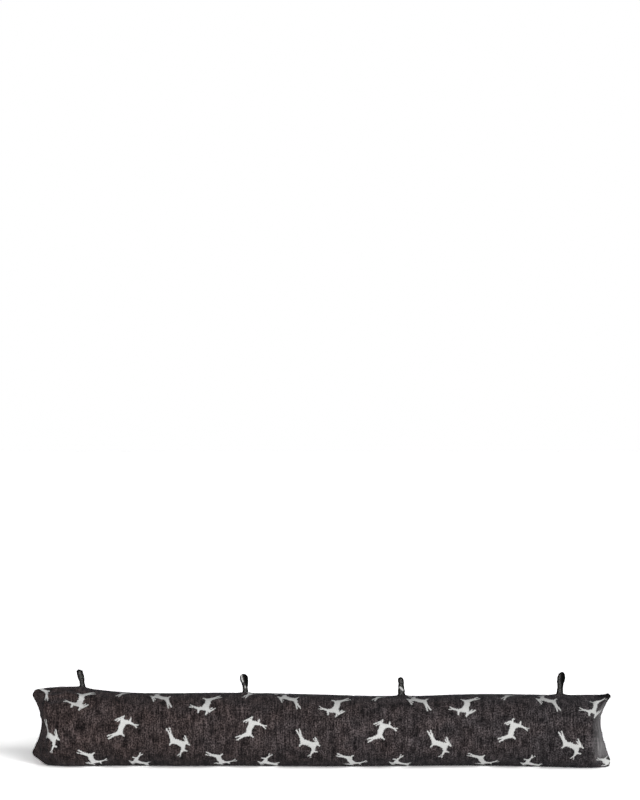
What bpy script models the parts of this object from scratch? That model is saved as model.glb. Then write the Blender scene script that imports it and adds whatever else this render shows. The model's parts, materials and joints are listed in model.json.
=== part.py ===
"""A draught excluder: one long tube of woven cloth, stuffed, with a flat seam across each end and four
hanging loops caught in the seam along its top.

Metres, +Z up. X runs along the tube, from its left end to its right one, and -Y is the front. The
origin is on the floor, under the middle of the tube.
"""

import math
from collections import namedtuple

import bpy
import numpy as np

# --- Driving dimensions -------------------------------------------------------------------------

LENGTH = 0.920  # from the tip of the left ears to the tip of the right ones
GIRTH = 0.385  # all the way round the stuffed tube
SUNK = 0.0035  # how far a free round belly would reach below the floor that flattens it
FLOOR_ROUNDING = 0.003  # over this height the belly turns from the flat into its round side
SEAM_BACK = 0.0030  # how far the top seam lies behind the middle of the tube's box
SQUARENESS = 2.15  # the section's power: 2 is an ellipse, more is squarer

SEAM_EDGE = 0.0032  # thickness of the pressed seam across each end
END_REACH = 0.064  # the stuffing is full this far in from an end seam
END_FULLNESS = (2.4, 0.66)  # powers of the curve by which the stuffing swells from the seam
END_SHARPNESS = 0.45  # how far the oval section turns into a pointed lens at an end seam
DRAWN_POWER = 1.7  # the power of the curve by which an end seam is drawn in between its ears
DRAWN_REACH = 0.022  # how far in from the seam the drawn-in shape dies away
EAR_PLACE = 0.90  # the height share, from the waist down to the corner, where a lower ear reaches furthest
EAR_TIP = 0.0028  # how far the corner beyond that is rounded off along X
EAR_DROP = 0.0021  # and how far the top seam drops there
EAR_DROP_REACH = 0.007
GROOVE_DEPTH = 0.0013  # the top seam's groove between its two rolled edges
GROOVE_HALF_WIDTH = 0.0035

RING_POINTS = 36
RING_CROWDING = 0.45  # how much closer a ring's points are at the top seam than under the tube
COARSE_STEP = 0.016  # between two sections where nothing changes fast
FINE_STEP = 0.0016  # between the first two sections at an end seam
LOOP_STEP = 0.003  # between sections right under a loop
STEP_GROWTH = 0.24  # how fast the steps widen away from an end or a loop

CLOTH_GAP = 0.00045  # between a loop's foot and the tube's seam

# The tube's line: where a section is, the height of the top seam there, loops aside, and how far the
# underside is pulled to the front.
Section = namedtuple("Section", "x top forward")
SECTIONS = (
    Section(-0.460, 0.1180, 0.010),
    Section(-0.440, 0.1208, 0.012),
    Section(-0.405, 0.1220, 0.010),
    Section(-0.370, 0.1190, 0.003),
    Section(-0.335, 0.1156, -0.004),
    Section(-0.295, 0.1138, -0.005),
    Section(-0.230, 0.1130, 0.001),
    Section(-0.150, 0.1134, -0.002),
    Section(-0.050, 0.1118, 0.002),
    Section(0.020, 0.1102, 0.004),
    Section(0.085, 0.1084, 0.000),
    Section(0.150, 0.1086, -0.003),
    Section(0.235, 0.1114, -0.006),
    Section(0.320, 0.1106, 0.002),
    Section(0.375, 0.1094, 0.012),
    Section(0.405, 0.1092, 0.022),
    Section(0.440, 0.1106, 0.034),
    Section(0.460, 0.1130, 0.040),
)

# Each end: height of its lower ear, how much shorter that ear is than the upper one, how far the
# seam is drawn in between the ears, the height share (-1 lower ear, 1 upper ear) where it is drawn in
# most, how far in from the end the underside lifts off the floor, and the height share, from the waist
# up to the corner, where the upper ear reaches furthest.
End = namedtuple("End", "lower_ear shorter drawn_in waist lift_reach upper_ear")
LEFT_END = End(0.0160, 0.0000, 0.0150, 0.00, 0.0320, 0.84)
RIGHT_END = End(0.0035, 0.0035, 0.0163, 0.26, 0.0120, 0.90)

# Each loop: place along the seam, its height, lean along X, turn about Z in degrees, and how high and
# how wide it pulls the cloth up round its foot.
Loop = namedtuple("Loop", "name x height lean turn pull spread")
LOOPS = (
    Loop("loop_1", -0.3812, 0.0262, -0.0044, 4, 0.0036, 0.014),
    Loop("loop_2", -0.1215, 0.0262, -0.0032, -20, 0.0024, 0.016),
    Loop("loop_3", 0.1268, 0.0258, -0.0014, 3, 0.0030, 0.012),
    Loop("loop_4", 0.3788, 0.0318, 0.0028, -22, 0.0036, 0.016),
)
PULL_WIDTH = 0.017  # how far across from the seam the cloth is pulled up round a loop's foot
STRAP_WIDTH = 0.0092
STRAP_THICKNESS = 0.0016
FOLD_NARROWING = 0.20  # the share of its width that a strap loses where it is folded over
LOOP_HALF_GAP = 0.0044  # half of the widest gap between a loop's two layers
LOOP_POINT = 1.1  # how pointed the gap is at its foot: the teardrop curve's power
WIDEST = 0.755  # the largest value of sin(t) * sin(t / 2) to that power
LOOP_FOOT = 0.0045  # height over which the two layers are sewn together
LOOP_SEGMENTS = 27  # odd, so that the gap has one level facet at its top
STRAP_EDGE = 0.00045

# Creases: from (x, girth) to (x, girth), with depth and half width; girth is measured in metres from
# the top seam, down the front where it is positive and down the back where it is negative. A crease
# with a negative depth is a ridge.
Crease = namedtuple("Crease", "x0 girth0 x1 girth1 depth half_width")
CREASES = (
    Crease(-0.440, 0.100, -0.436, 0.142, 0.0034, 0.0050),
    Crease(-0.424, 0.146, -0.413, 0.172, 0.0024, 0.0050),
    Crease(-0.404, 0.006, -0.392, 0.026, 0.0026, 0.0060),
    Crease(-0.438, 0.036, -0.425, 0.062, 0.0018, 0.0060),
    Crease(0.443, 0.078, 0.426, 0.165, -0.0032, 0.0070),
    Crease(0.424, 0.100, 0.410, 0.158, 0.0020, 0.0070),
    Crease(0.442, 0.040, 0.434, 0.066, 0.0026, 0.0055),
    Crease(0.392, 0.006, 0.404, 0.024, 0.0016, 0.0060),
    Crease(-0.436, -0.052, -0.428, -0.100, 0.0030, 0.0060),
    Crease(0.438, -0.060, 0.430, -0.128, 0.0030, 0.0060),
    Crease(-0.300, -0.020, -0.262, -0.034, 0.0016, 0.0090),
    Crease(0.225, -0.022, 0.262, -0.030, 0.0016, 0.0090),
)

# The stuffing's own lumps: how many of them fit the length, how strong they are, and their offset.
Lump = namedtuple("Lump", "waves swell phase")
LUMPS = (Lump(3.1, 0.0014, 0.4), Lump(5.7, 0.0010, 2.1), Lump(9.3, 0.0006, 4.4))


# --- Small curve helpers ------------------------------------------------------------------------


def ramp(value, start, end):
    """0 at start, 1 at end, and a smooth turn between them."""
    share = np.clip((value - start) / (end - start), 0.0, 1.0)
    return share * share * (3.0 - 2.0 * share)


def through(xs, values, x):
    """The smooth curve through the points (xs, values), read at x: a cubic with averaged slopes."""
    slopes = np.gradient(values, xs)
    i = np.clip(np.searchsorted(xs, x) - 1, 0, len(xs) - 2)
    width = xs[i + 1] - xs[i]
    t = np.clip((x - xs[i]) / width, 0.0, 1.0)
    rise = values[i + 1] - values[i]
    bend = (slopes[i] * width - rise) * (1.0 - t) - (slopes[i + 1] * width - rise) * t
    return values[i] + rise * t + t * (1.0 - t) * bend


def level_at_floor(height):
    """Heights under the floor become exactly 0, and the turn into the flat is round."""
    rounded = (height + FLOOR_ROUNDING) ** 2 / (4.0 * FLOOR_ROUNDING)
    return np.where(
        height <= -FLOOR_ROUNDING, 0.0, np.where(height >= FLOOR_ROUNDING, height, rounded)
    )


# --- The tube -----------------------------------------------------------------------------------


def lumps_at(x):
    """How much fuller the tube is at x than the average, from the lumps of its stuffing."""
    angle = 2.0 * math.pi * x / LENGTH
    return sum(lump.swell * np.sin(lump.waves * angle + lump.phase) for lump in LUMPS)


def forward_at(x):
    """How far the underside is pulled to the front at x."""
    table = np.array(SECTIONS)
    return through(table[:, 0], table[:, 2], x)


def seam_height(x):
    """The height of the top seam at x, loops aside."""
    table = np.array(SECTIONS)
    return through(table[:, 0], table[:, 1], x)


def pulled_up(x, across):
    """How high the loops pull the cloth up, at x along the tube and this far across from its seam."""
    height = 0.0
    for loop in LOOPS:
        away = np.abs(x - loop.x) / loop.spread
        height = height + loop.pull * np.exp(-(away**1.5) - (across / PULL_WIDTH) ** 2)
    return height


def station_places():
    """The places of the sections: close together at the end seams and under the loops."""
    half = LENGTH / 2.0
    places = [-half]
    while places[-1] < half:
        x = places[-1]
        from_end = min(x + half, half - x)
        from_loop = min(abs(x - loop.x) for loop in LOOPS)
        places.append(
            x
            + min(
                COARSE_STEP,
                FINE_STEP + STEP_GROWTH * from_end,
                LOOP_STEP + STEP_GROWTH * from_loop,
            )
        )
    places = np.array(places)
    return -half + (places + half) * LENGTH / (places[-1] + half)


def ring_angles():
    """Angles round a section from the top seam, closer together near the seam than under the tube."""
    turn = 2.0 * math.pi * np.arange(RING_POINTS) / RING_POINTS
    return turn - RING_CROWDING * np.sin(turn)


def swelling(from_end):
    """The share of the full half depth that the stuffing reaches this far in from an end seam."""
    outer, inner = END_FULLNESS
    share = np.clip(from_end / END_REACH, 0.0, 1.0)
    return (1.0 - (1.0 - share) ** outer) ** inner


def lower_line(end, from_end):
    """The free height of the tube's lower line, which rises to the lower ear at an end."""
    return -SUNK + (end.lower_ear + SUNK) * (1.0 - ramp(from_end, 0.0, end.lift_reach))


def end_seam_inset(end, share):
    """How far the end seam is drawn in, at a height share from -1, lower ear, to 1, upper ear."""
    side = np.where(share > end.waist, 1.0 - end.waist, 1.0 + end.waist)
    ear = np.where(share > end.waist, end.upper_ear, EAR_PLACE)
    away = np.abs(share - end.waist) / side / ear
    tips = np.clip((away - 1.0) / (1.0 / ear - 1.0), 0.0, 1.0) ** 2
    drawn = end.drawn_in * (1.0 - np.minimum(away, 1.0) ** DRAWN_POWER)
    return drawn + EAR_TIP * tips + end.shorter * (1.0 - share) / 2.0


def tube_points():
    """The tube's points, one row for each section and one column for each angle round it."""
    x = station_places()[:, None]
    angle = ring_angles()[None, :]
    from_end = LENGTH / 2.0 - np.abs(x)

    top = seam_height(x) - EAR_DROP * np.clip(1.0 - from_end / EAR_DROP_REACH, 0.0, 1.0) ** 2
    lower = np.where(x < 0.0, lower_line(LEFT_END, from_end), lower_line(RIGHT_END, from_end))
    half_height = (top - lower) / 2.0
    middle = (top + lower) / 2.0
    full_depth = GIRTH / math.pi - (top + SUNK) / 2.0 + lumps_at(x)
    half_depth = SEAM_EDGE / 2.0 + (full_depth - SEAM_EDGE / 2.0) * swelling(from_end)

    # Near an end the section turns from a full oval into a lens, pointed at the ears.
    lens = 1.0 - ramp(from_end, 0.0, END_REACH)
    power = 2.0 / SQUARENESS + END_SHARPNESS * lens
    sine, cosine = np.sin(angle), np.cos(angle)
    share = np.sign(cosine) * np.abs(cosine) ** (2.0 / SQUARENESS)
    thinnest = SEAM_EDGE / 2.0 / half_depth * np.abs(sine)
    across = np.sign(sine) * np.maximum(np.abs(sine) ** power, thinnest)
    y = SEAM_BACK - half_depth * across - forward_at(x) * (1.0 - share) / 2.0

    from_seam = full_depth * across
    groove = GROOVE_DEPTH * np.exp(-((from_seam / GROOVE_HALF_WIDTH) ** 2)) * ramp(from_end, 0.002, 0.020)
    upper = share > 0.0
    free = middle + half_height * share + (pulled_up(x, from_seam) - groove) * upper
    z = level_at_floor(free)

    inset = np.where(x < 0.0, end_seam_inset(LEFT_END, share), end_seam_inset(RIGHT_END, share))
    drawn = inset * np.exp(-from_end / DRAWN_REACH)
    x = x - np.sign(x) * drawn
    return pressed_in(np.stack(np.broadcast_arrays(x, y, z), axis=-1), angle)


def pressed_in(points, angle):
    """The points with every crease pressed in, towards the middle of each section."""
    girth = np.where(angle <= math.pi, angle, angle - 2.0 * math.pi) / (2.0 * math.pi) * GIRTH
    x = points[..., 0]
    depth = np.zeros_like(x)
    for crease in CREASES:
        along = np.array([crease.x1 - crease.x0, crease.girth1 - crease.girth0])
        length = float(np.hypot(*along))
        run = ((x - crease.x0) * along[0] + (girth - crease.girth0) * along[1]) / length**2
        off = np.hypot(
            x - crease.x0 - np.clip(run, 0.0, 1.0) * along[0],
            girth - crease.girth0 - np.clip(run, 0.0, 1.0) * along[1],
        )
        depth = depth + crease.depth * np.exp(-((off / crease.half_width) ** 2))
    middle = points.mean(axis=1, keepdims=True)
    inwards = middle - points
    inwards[..., 0] = 0.0
    reach = np.linalg.norm(inwards, axis=-1, keepdims=True)
    pressed = points + inwards / np.maximum(reach, 0.001) * np.minimum(depth[..., None], 0.3 * reach)
    pressed[..., 2] = np.where(points[..., 2] <= 0.0, 0.0, np.maximum(pressed[..., 2], 0.0))
    return pressed


def tube_mesh():
    """Quads from ring to ring, and one strip of quads across each end seam."""
    points = tube_points()
    rows, columns = points.shape[:2]
    index = np.arange(rows * columns).reshape(rows, columns)
    beside = np.roll(index, -1, axis=1)
    walls = np.stack([index[:-1], beside[:-1], beside[1:], index[1:]], axis=-1).reshape(-1, 4)
    faces = [tuple(int(i) for i in wall) for wall in walls]
    for row, outwards in ((index[0], True), (index[-1], False)):
        faces += end_strip([int(i) for i in row], outwards)
    return points.reshape(-1, 3), faces


def end_strip(ring, outwards):
    """Faces that close a ring by joining each front point to the back point at the same height."""
    half = len(ring) // 2
    front, back = ring[: half + 1], [ring[0]] + ring[:half - 1:-1]
    faces = []
    for k in range(half):
        corners = [front[k], back[k], back[k + 1], front[k + 1]]
        corners = [c for n, c in enumerate(corners) if c not in corners[:n]]
        faces.append(tuple(corners if outwards else corners[::-1]))
    return faces


# --- The loops ----------------------------------------------------------------------------------


def loop_outlines(loop):
    """The gap's outline and the strap's outer one, as (off, up) points: off is across the strap."""
    turn = 2.0 * math.pi * np.arange(LOOP_SEGMENTS) / LOOP_SEGMENTS
    rise = loop.height - LOOP_FOOT - STRAP_THICKNESS
    gap = np.stack(
        [
            -LOOP_HALF_GAP * np.sin(turn) * np.sin(turn / 2.0) ** LOOP_POINT / WIDEST,
            LOOP_FOOT + rise * (1.0 - np.cos(turn)) / 2.0,
        ],
        axis=-1,
    )
    along = np.roll(gap, -1, axis=0) - np.roll(gap, 1, axis=0)
    outwards = np.stack([-along[:, 1], along[:, 0]], axis=-1)
    outwards /= np.linalg.norm(outwards, axis=-1, keepdims=True)
    outer = gap + STRAP_THICKNESS * outwards
    low = outer[:, 1] < LOOP_FOOT + 0.3 * rise
    thick = np.maximum(np.abs(outer[:, 0]), STRAP_THICKNESS)
    outer[low, 0] = np.sign(gap[low, 0]) * thick[low]
    outer[0] = (0.0, 0.0)
    outer[[1, -1], 1] = 0.0
    return gap, outer


def loop_points(loop, outline, across):
    """Places an outline at one edge of the strap, turned, leaning and standing on the seam."""
    off, up = outline[:, 0], outline[:, 1]
    across = across * (1.0 - FOLD_NARROWING * ramp(up, loop.height - 0.005, loop.height))
    share = ramp(up, 0.0, loop.height * 0.75)
    angle = np.radians(loop.turn) * share
    x = loop.x + across * np.cos(angle) - off * np.sin(angle) + loop.lean * (up / loop.height) ** 1.3
    y = SEAM_BACK + across * np.sin(angle) + off * np.cos(angle)
    foot = seam_height(loop.x) + pulled_up(loop.x, 0.0)
    slope = (seam_height(x) + pulled_up(x, 0.0) - foot) * (1.0 - ramp(up, 0.0, 0.008))
    z = foot + CLOTH_GAP + up + slope
    return np.stack([x, y, z], axis=-1)


def loop_mesh(loop):
    """A flat strap folded over into a teardrop: two outlines at each edge, joined into a closed band."""
    gap, outer = loop_outlines(loop)
    half = STRAP_WIDTH / 2.0
    rings = [
        loop_points(loop, outer, -half),
        loop_points(loop, outer, half),
        loop_points(loop, gap, half),
        loop_points(loop, gap, -half),
    ]
    count = LOOP_SEGMENTS
    faces = []
    for ring in range(4):
        here, there = ring * count, (ring + 1) % 4 * count
        for k in range(count):
            after = (k + 1) % count
            faces.append((here + k, there + k, there + after, here + after))
    return np.concatenate(rings), faces


# --- Objects ------------------------------------------------------------------------------------


def cloth_material(name, colour, roughness):
    material = bpy.data.materials.new(name)
    material.use_nodes = True
    shader = material.node_tree.nodes["Principled BSDF"]
    shader.inputs["Base Color"].default_value = (*colour, 1.0)
    shader.inputs["Roughness"].default_value = roughness
    shader.inputs["Metallic"].default_value = 0.0
    return material


def cloth_object(name, points, faces, material):
    mesh = bpy.data.meshes.new(name)
    mesh.from_pydata([tuple(float(c) for c in p) for p in points], [], faces)
    mesh.validate()
    mesh.shade_smooth()
    mesh.materials.append(material)
    made = bpy.data.objects.new(name, mesh)
    bpy.context.scene.collection.objects.link(made)
    return made


def clear_scene():
    for old in list(bpy.data.objects):
        bpy.data.objects.remove(old)


def main():
    clear_scene()
    tweed = cloth_material("charcoal_tweed", (0.045, 0.038, 0.038), 0.92)
    strap = cloth_material("strap_cloth", (0.022, 0.021, 0.021), 0.85)
    cloth_object("tube", *tube_mesh(), tweed)
    for loop in LOOPS:
        made = cloth_object(loop.name, *loop_mesh(loop), strap)
        edge = made.modifiers.new("folded_edges", "BEVEL")
        edge.width = STRAP_EDGE
        edge.segments = 1
        edge.limit_method = "ANGLE"
        edge.angle_limit = math.radians(55)


main()
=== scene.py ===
import json
import math
from collections import namedtuple

import bpy
import numpy as np
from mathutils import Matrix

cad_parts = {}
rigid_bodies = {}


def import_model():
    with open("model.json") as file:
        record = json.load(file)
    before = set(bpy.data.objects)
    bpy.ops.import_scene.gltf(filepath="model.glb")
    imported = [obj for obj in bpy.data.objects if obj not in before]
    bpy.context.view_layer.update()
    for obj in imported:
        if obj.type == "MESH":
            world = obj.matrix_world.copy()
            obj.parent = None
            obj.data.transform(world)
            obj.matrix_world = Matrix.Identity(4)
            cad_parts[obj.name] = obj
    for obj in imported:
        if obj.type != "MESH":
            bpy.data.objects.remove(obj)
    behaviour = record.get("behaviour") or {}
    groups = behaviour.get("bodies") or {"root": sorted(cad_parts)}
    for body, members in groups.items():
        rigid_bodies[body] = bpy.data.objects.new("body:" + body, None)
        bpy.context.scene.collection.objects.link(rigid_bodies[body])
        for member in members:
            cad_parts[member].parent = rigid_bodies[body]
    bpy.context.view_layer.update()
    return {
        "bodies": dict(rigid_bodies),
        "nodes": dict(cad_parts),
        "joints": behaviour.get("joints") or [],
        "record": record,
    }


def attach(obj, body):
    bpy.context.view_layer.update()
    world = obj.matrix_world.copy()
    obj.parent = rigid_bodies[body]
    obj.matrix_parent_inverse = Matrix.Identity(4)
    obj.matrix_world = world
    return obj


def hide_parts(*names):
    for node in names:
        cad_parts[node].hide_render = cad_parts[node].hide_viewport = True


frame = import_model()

# A draught excluder: a stuffed tube of charcoal tweed with a pattern of leaping hares, a flat seam
# across each end, and four hanging loops caught in the seam along its top. Metres, +Z up, X along the
# tube, -Y the front. "Down" is measured on the cloth, from the top seam down the front.

# --- The tube's measures, as in its solid ---

LENGTH = 0.920
GIRTH = 0.385
SUNK = 0.0035  # how far a free round belly would reach below the floor that flattens it
FLOOR_ROUNDING = 0.003  # over this height the belly turns from the flat into its round side
SEAM_BACK = 0.0030  # how far the top seam lies behind the middle of the tube's box
SQUARENESS = 2.15  # the section's power: 2 is an ellipse, more is squarer
SEAM_EDGE = 0.0032  # thickness of the pressed seam across each end
END_REACH = 0.064  # the stuffing is full this far in from an end seam
END_FULLNESS = (2.4, 0.66)  # powers of the curve by which the stuffing swells from the seam
END_SHARPNESS = 0.45  # how far the oval section turns into a pointed lens at an end seam
DRAWN_POWER = 1.7  # the power of the curve by which an end seam is drawn in between its ears
DRAWN_REACH = 0.022  # how far in from the seam the drawn-in shape dies away
EAR_PLACE = 0.90  # the height share, from the waist down, where a lower ear reaches furthest
EAR_TIP = 0.0028  # how far the corner beyond that is rounded off along X
EAR_DROP = 0.0021  # and how far the top seam drops there
EAR_DROP_REACH = 0.007
PULL_WIDTH = 0.017  # how far across from the seam the cloth is pulled up round a loop's foot

# Sections along the tube: x, the height of the top seam, and how far forward the underside lies.
SECTIONS = (
    (-0.460, 0.1180, 0.010),
    (-0.440, 0.1208, 0.012),
    (-0.405, 0.1220, 0.010),
    (-0.370, 0.1190, 0.003),
    (-0.335, 0.1156, -0.004),
    (-0.295, 0.1138, -0.005),
    (-0.230, 0.1130, 0.001),
    (-0.150, 0.1134, -0.002),
    (-0.050, 0.1118, 0.002),
    (0.020, 0.1102, 0.004),
    (0.085, 0.1084, 0.000),
    (0.150, 0.1086, -0.003),
    (0.235, 0.1114, -0.006),
    (0.320, 0.1106, 0.002),
    (0.375, 0.1094, 0.012),
    (0.405, 0.1092, 0.022),
    (0.440, 0.1106, 0.034),
    (0.460, 0.1130, 0.040),
)
SECTION_X, SECTION_TOP, SECTION_FORWARD = np.array(SECTIONS).T

# The end seams: the lower ear's height and how much shorter than the tube it is, how far the seam is
# drawn in at its waist, the waist's height share, how far the lifted ear reaches in, and the height
# share, from the waist up, where the upper ear reaches furthest.
End = namedtuple("End", "lower_ear shorter drawn_in waist lift_reach upper_ear")
LEFT_END = End(0.0160, 0.0000, 0.0150, 0.00, 0.0320, 0.84)
RIGHT_END = End(0.0035, 0.0035, 0.0163, 0.26, 0.0120, 0.90)

# Each loop: its foot along the seam, height, lean along X, turn about Z in degrees, how high and how
# wide it pulls up the cloth, its width at the top and at the foot, and how far down its top is rounded.
Loop = namedtuple("Loop", "name x height lean turn pull spread top_width foot_width rounding")
LOOPS = (
    Loop("loop_1", -0.3800, 0.0268, -0.0058, 4, 0.0038, 0.010, 0.0106, 0.0080, 0.0044),
    Loop("loop_2", -0.1212, 0.0280, -0.0034, -26, 0.0028, 0.011, 0.0094, 0.0076, 0.0064),
    Loop("loop_3", 0.1268, 0.0268, -0.0014, 3, 0.0034, 0.010, 0.0084, 0.0102, 0.0040),
    Loop("loop_4", 0.3784, 0.0328, 0.0036, -34, 0.0046, 0.011, 0.0088, 0.0092, 0.0085),
)
STRAP_WIDTH = 0.0092
STRAP_THICKNESS = 0.0016
LOOP_HALF_GAP = 0.0044  # half of the widest gap between a loop's two layers
LOOP_FOOT = 0.0045  # height over which the two layers are sewn together
FOOT_DEPTH = 0.0030  # how far the strap runs down into the seam
LOOP_CROWN = 0.0013  # how much lower the strap's edges lie than its middle, at the fold
LOOP_POINT = 1.1  # the power that draws the loop to a point at its foot
LAYER_GAP = 0.52  # from a foot's middle to the middle of each of its layers, in thicknesses
WIDEST = 0.755  # the greatest value of sin(t) sin(t/2)^LOOP_POINT

# Creases: x and girth from and to, depth and half width; girth is measured from the top seam, down the
# front where positive and down the back where negative. A negative depth is a ridge.
CREASES = (
    (-0.440, 0.100, -0.436, 0.142, 0.0034, 0.0050),
    (-0.424, 0.146, -0.413, 0.172, 0.0024, 0.0050),
    (-0.404, 0.006, -0.392, 0.026, 0.0026, 0.0060),
    (-0.438, 0.036, -0.425, 0.062, 0.0018, 0.0060),
    (0.443, 0.078, 0.426, 0.165, -0.0032, 0.0070),
    (0.424, 0.100, 0.410, 0.158, 0.0020, 0.0070),
    (0.442, 0.040, 0.434, 0.066, 0.0026, 0.0055),
    (0.392, 0.006, 0.404, 0.024, 0.0016, 0.0060),
    (-0.436, -0.052, -0.428, -0.100, 0.0030, 0.0060),
    (0.438, -0.060, 0.430, -0.128, 0.0030, 0.0060),
    (-0.300, -0.020, -0.262, -0.034, 0.0016, 0.0090),
    (0.225, -0.022, 0.262, -0.030, 0.0016, 0.0090),
)

# Lumps of the stuffing: waves in the tube's length, swell and phase.
LUMPS = ((3.1, 0.0014, 0.4), (5.7, 0.0010, 2.1), (9.3, 0.0006, 4.4))

# --- Measures of the dressed cloth ---

# The mesh, which is finest at the end seams and under the loops.
RING_POINTS = 92
RING_CROWDING = 0.50  # how much closer a ring's points are at the top seam than under the tube
COARSE_STEP = 0.0046  # between two sections where nothing changes fast
FINE_STEP = 0.0014  # between the first two sections at an end seam
LOOP_STEP = 0.0026  # and under a loop
STEP_GROWTH = 0.20  # how much the step grows for each metre away from there
LOOP_POINTS, STRAP_POINTS = 44, 20  # along a loop's strap and round its section

STRAP_PLACES = 0.040  # one loop's cloth coordinates start this far from the next one's

SEAM_GROOVE = 0.0016  # the top seam's line between its two rolled edges
SEAM_GROOVE_HALF = 0.0022
EDGE_GROOVE = 0.0013  # the line between the two cloths in the edge of an end seam

# Puckers at the end seams and along the top seam: spacing, height at the seam and reach from it.
Pucker = namedtuple("Pucker", "spacing height reach")
END_PUCKERS = Pucker(0.0125, 0.00075, 0.011)
TOP_PUCKERS = Pucker(0.0105, 0.00035, 0.010)

# The simulation of the cloth, pressed out by the stuffing.
CLOTH = {
    "quality": 6,
    "mass": 0.25,
    "tension_stiffness": 30.0,
    "compression_stiffness": 30.0,
    "shear_stiffness": 6.0,
    "bending_stiffness": 0.3,
    "air_damping": 3.0,
    "use_pressure": True,
    "uniform_pressure_force": 4.0,
}
GATHERED = 0.30  # how much too long the end seams' cloth is cut, of what they lack to the full girth
SEWING_FRAMES, SETTLE_FRAMES = 12, 24  # for sewing up, and for all
MOST_MOVED = 0.004  # a cap on what is kept of the movement
SMOOTH_REACH = 9  # movement wider than this many cells is left out, so the outline stays

# The pattern's place on the cloth. It is drawn out towards both ends and slants down to the right. In
# the folded left upper ear, the drawn-in right lower ear and the gathered left waist it is shifted: by
# how much, and between which places the shift sets in.
HARE_LENGTH_STEP = 0.205  # the pattern's repeat along the tube
HARE_GIRTH_STEP = 0.215  # and round it
FULL_SECTIONS = (-0.19, 0.0, 0.19)  # where the way down the cloth is measured
STRETCH = (0.996, -0.02, 0.064)  # factors of x, x^2 and x^3
FANNED, FANNED_FROM = 0.10, 0.1  # how much the stretch eases with the way down, and from where
SLANT = 0.004
TURNED_FROM = -0.436  # left of here the pattern is turned up over the top
FOLDED_ALONG, FOLDED_DOWN, FOLDED_FROM, FOLDED_ABOVE = 0.0045, 0.002, (0.425, 0.440), (0.030, 0.060)
DRAWN_ALONG, DRAWN_DOWN, DRAWN_FROM, DRAWN_BELOW = 0.009, 0.006, (0.414, 0.444), (0.092, 0.122)
WAIST_PUSHED, WAIST_PUSHED_AT, WAIST_PUSHED_REACH = 0.0045, -0.415, 0.018
WAIST_GATHERED, WAIST_GATHERED_FROM = 0.006, (0.420, 0.447)
WAIST_LIFTED, WAIST_LIFTED_FROM = 0.003, (0.390, 0.420)
WAIST_BELOW, WAIST_ABOVE = (0.055, 0.085), (0.130, 0.160)

# The studio. Each light has a strength, and in degrees its height, how far round to the right it stands
# and how broad it is. The low lights skim over the floor from behind and from both ends.
LIGHTS = (
    ("key_light", 1.86, 14.0, 30.0, 30.0),
    ("front_light", 3.7, 1.0, 4.0, 30.0),
    ("low_light", 3.2, 0.12, 178.0, 0.2),
    ("low_light", 0.4, 0.12, 94.0, 0.2),
    ("low_light", 0.8, 0.12, 268.0, 0.2),
)
FILL = 0.075  # how bright the surroundings are for the tube
FLOOR_SIZE, FLOOR_LEVEL = 60.0, -0.0004
FLOOR_PLAIN = (0.9, 0.9, 0.9, 1.0)  # the floor's shade for all rays but the camera's
FLOOR_GAIN = 4.32  # the floor as the camera sees it, so that it is white as in a studio
FLOOR_GLOW = 0.02
CONTACT_REACH, CONTACT_POWER = 0.040, 0.45  # its shading at the tube's foot
CAMERA_PLACE = (-0.0027, -5.0, 0.5786)
SENSOR = 36.0  # in millimetres
FRAMED_HEIGHT = 1.2708  # what the camera frames at the tube


# --- Small curve helpers ---


def ramp(value, start, end):
    """0 at start, 1 at end, and a smooth turn between them."""
    share = np.clip((value - start) / (end - start), 0.0, 1.0)
    return share * share * (3.0 - 2.0 * share)


def through(xs, values, x):
    """The smooth curve through the points (xs, values), read at x: a cubic with averaged slopes."""
    slopes = np.gradient(values, xs)
    i = np.clip(np.searchsorted(xs, x) - 1, 0, len(xs) - 2)
    width = xs[i + 1] - xs[i]
    t = np.clip((x - xs[i]) / width, 0.0, 1.0)
    rise = values[i + 1] - values[i]
    bend = (slopes[i] * width - rise) * (1.0 - t) - (slopes[i + 1] * width - rise) * t
    return values[i] + rise * t + t * (1.0 - t) * bend


def level_at_floor(height):
    """Heights under the floor become 0, and the turn into the flat is a parabola."""
    rounded = (height + FLOOR_ROUNDING) ** 2 / (4.0 * FLOOR_ROUNDING)
    return np.where(np.abs(height) < FLOOR_ROUNDING, rounded, np.maximum(height, 0.0))


# --- The tube's shape ---


def seam_height(x):
    return through(SECTION_X, SECTION_TOP, x)


def lumps_at(x):
    """The stuffing's lumps: a sum of sine waves along the tube."""
    angle = 2.0 * math.pi * x / LENGTH
    return sum(swell * np.sin(waves * angle + phase) for waves, swell, phase in LUMPS)


def pulled_up(x, across):
    """How high the loops pull the cloth up, each in a peak that falls as exp(-away^1.2 - across^2)."""
    height = 0.0
    for loop in LOOPS:
        away = np.abs(x - loop.x) / loop.spread
        height = height + loop.pull * np.exp(-(away**1.2) - (across / PULL_WIDTH) ** 2)
    return height


def station_places():
    """Places of the sections along the tube, closer together at the ends and under the loops."""
    half = LENGTH / 2.0
    places = [-half]
    while places[-1] < half:
        x = places[-1]
        from_end = min(x + half, half - x)
        from_loop = min(abs(x - loop.x) for loop in LOOPS)
        near_end, near_loop = FINE_STEP + STEP_GROWTH * from_end, LOOP_STEP + STEP_GROWTH * from_loop
        places.append(x + min(COARSE_STEP, near_end, near_loop))
    places = np.array(places)
    return -half + (places + half) * LENGTH / (places[-1] + half)


def ring_angles():
    """Angles round the section, closer together at the top seam: turn - crowding * sin(turn)."""
    turn = 2.0 * math.pi * np.arange(RING_POINTS) / RING_POINTS
    return turn - RING_CROWDING * np.sin(turn)


def swelling(from_end):
    """The share of its full depth that the stuffing reaches: (1 - (1 - s)^outer)^inner."""
    outer, inner = END_FULLNESS
    share = np.clip(from_end / END_REACH, 0.0, 1.0)
    return (1.0 - (1.0 - share) ** outer) ** inner


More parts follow.
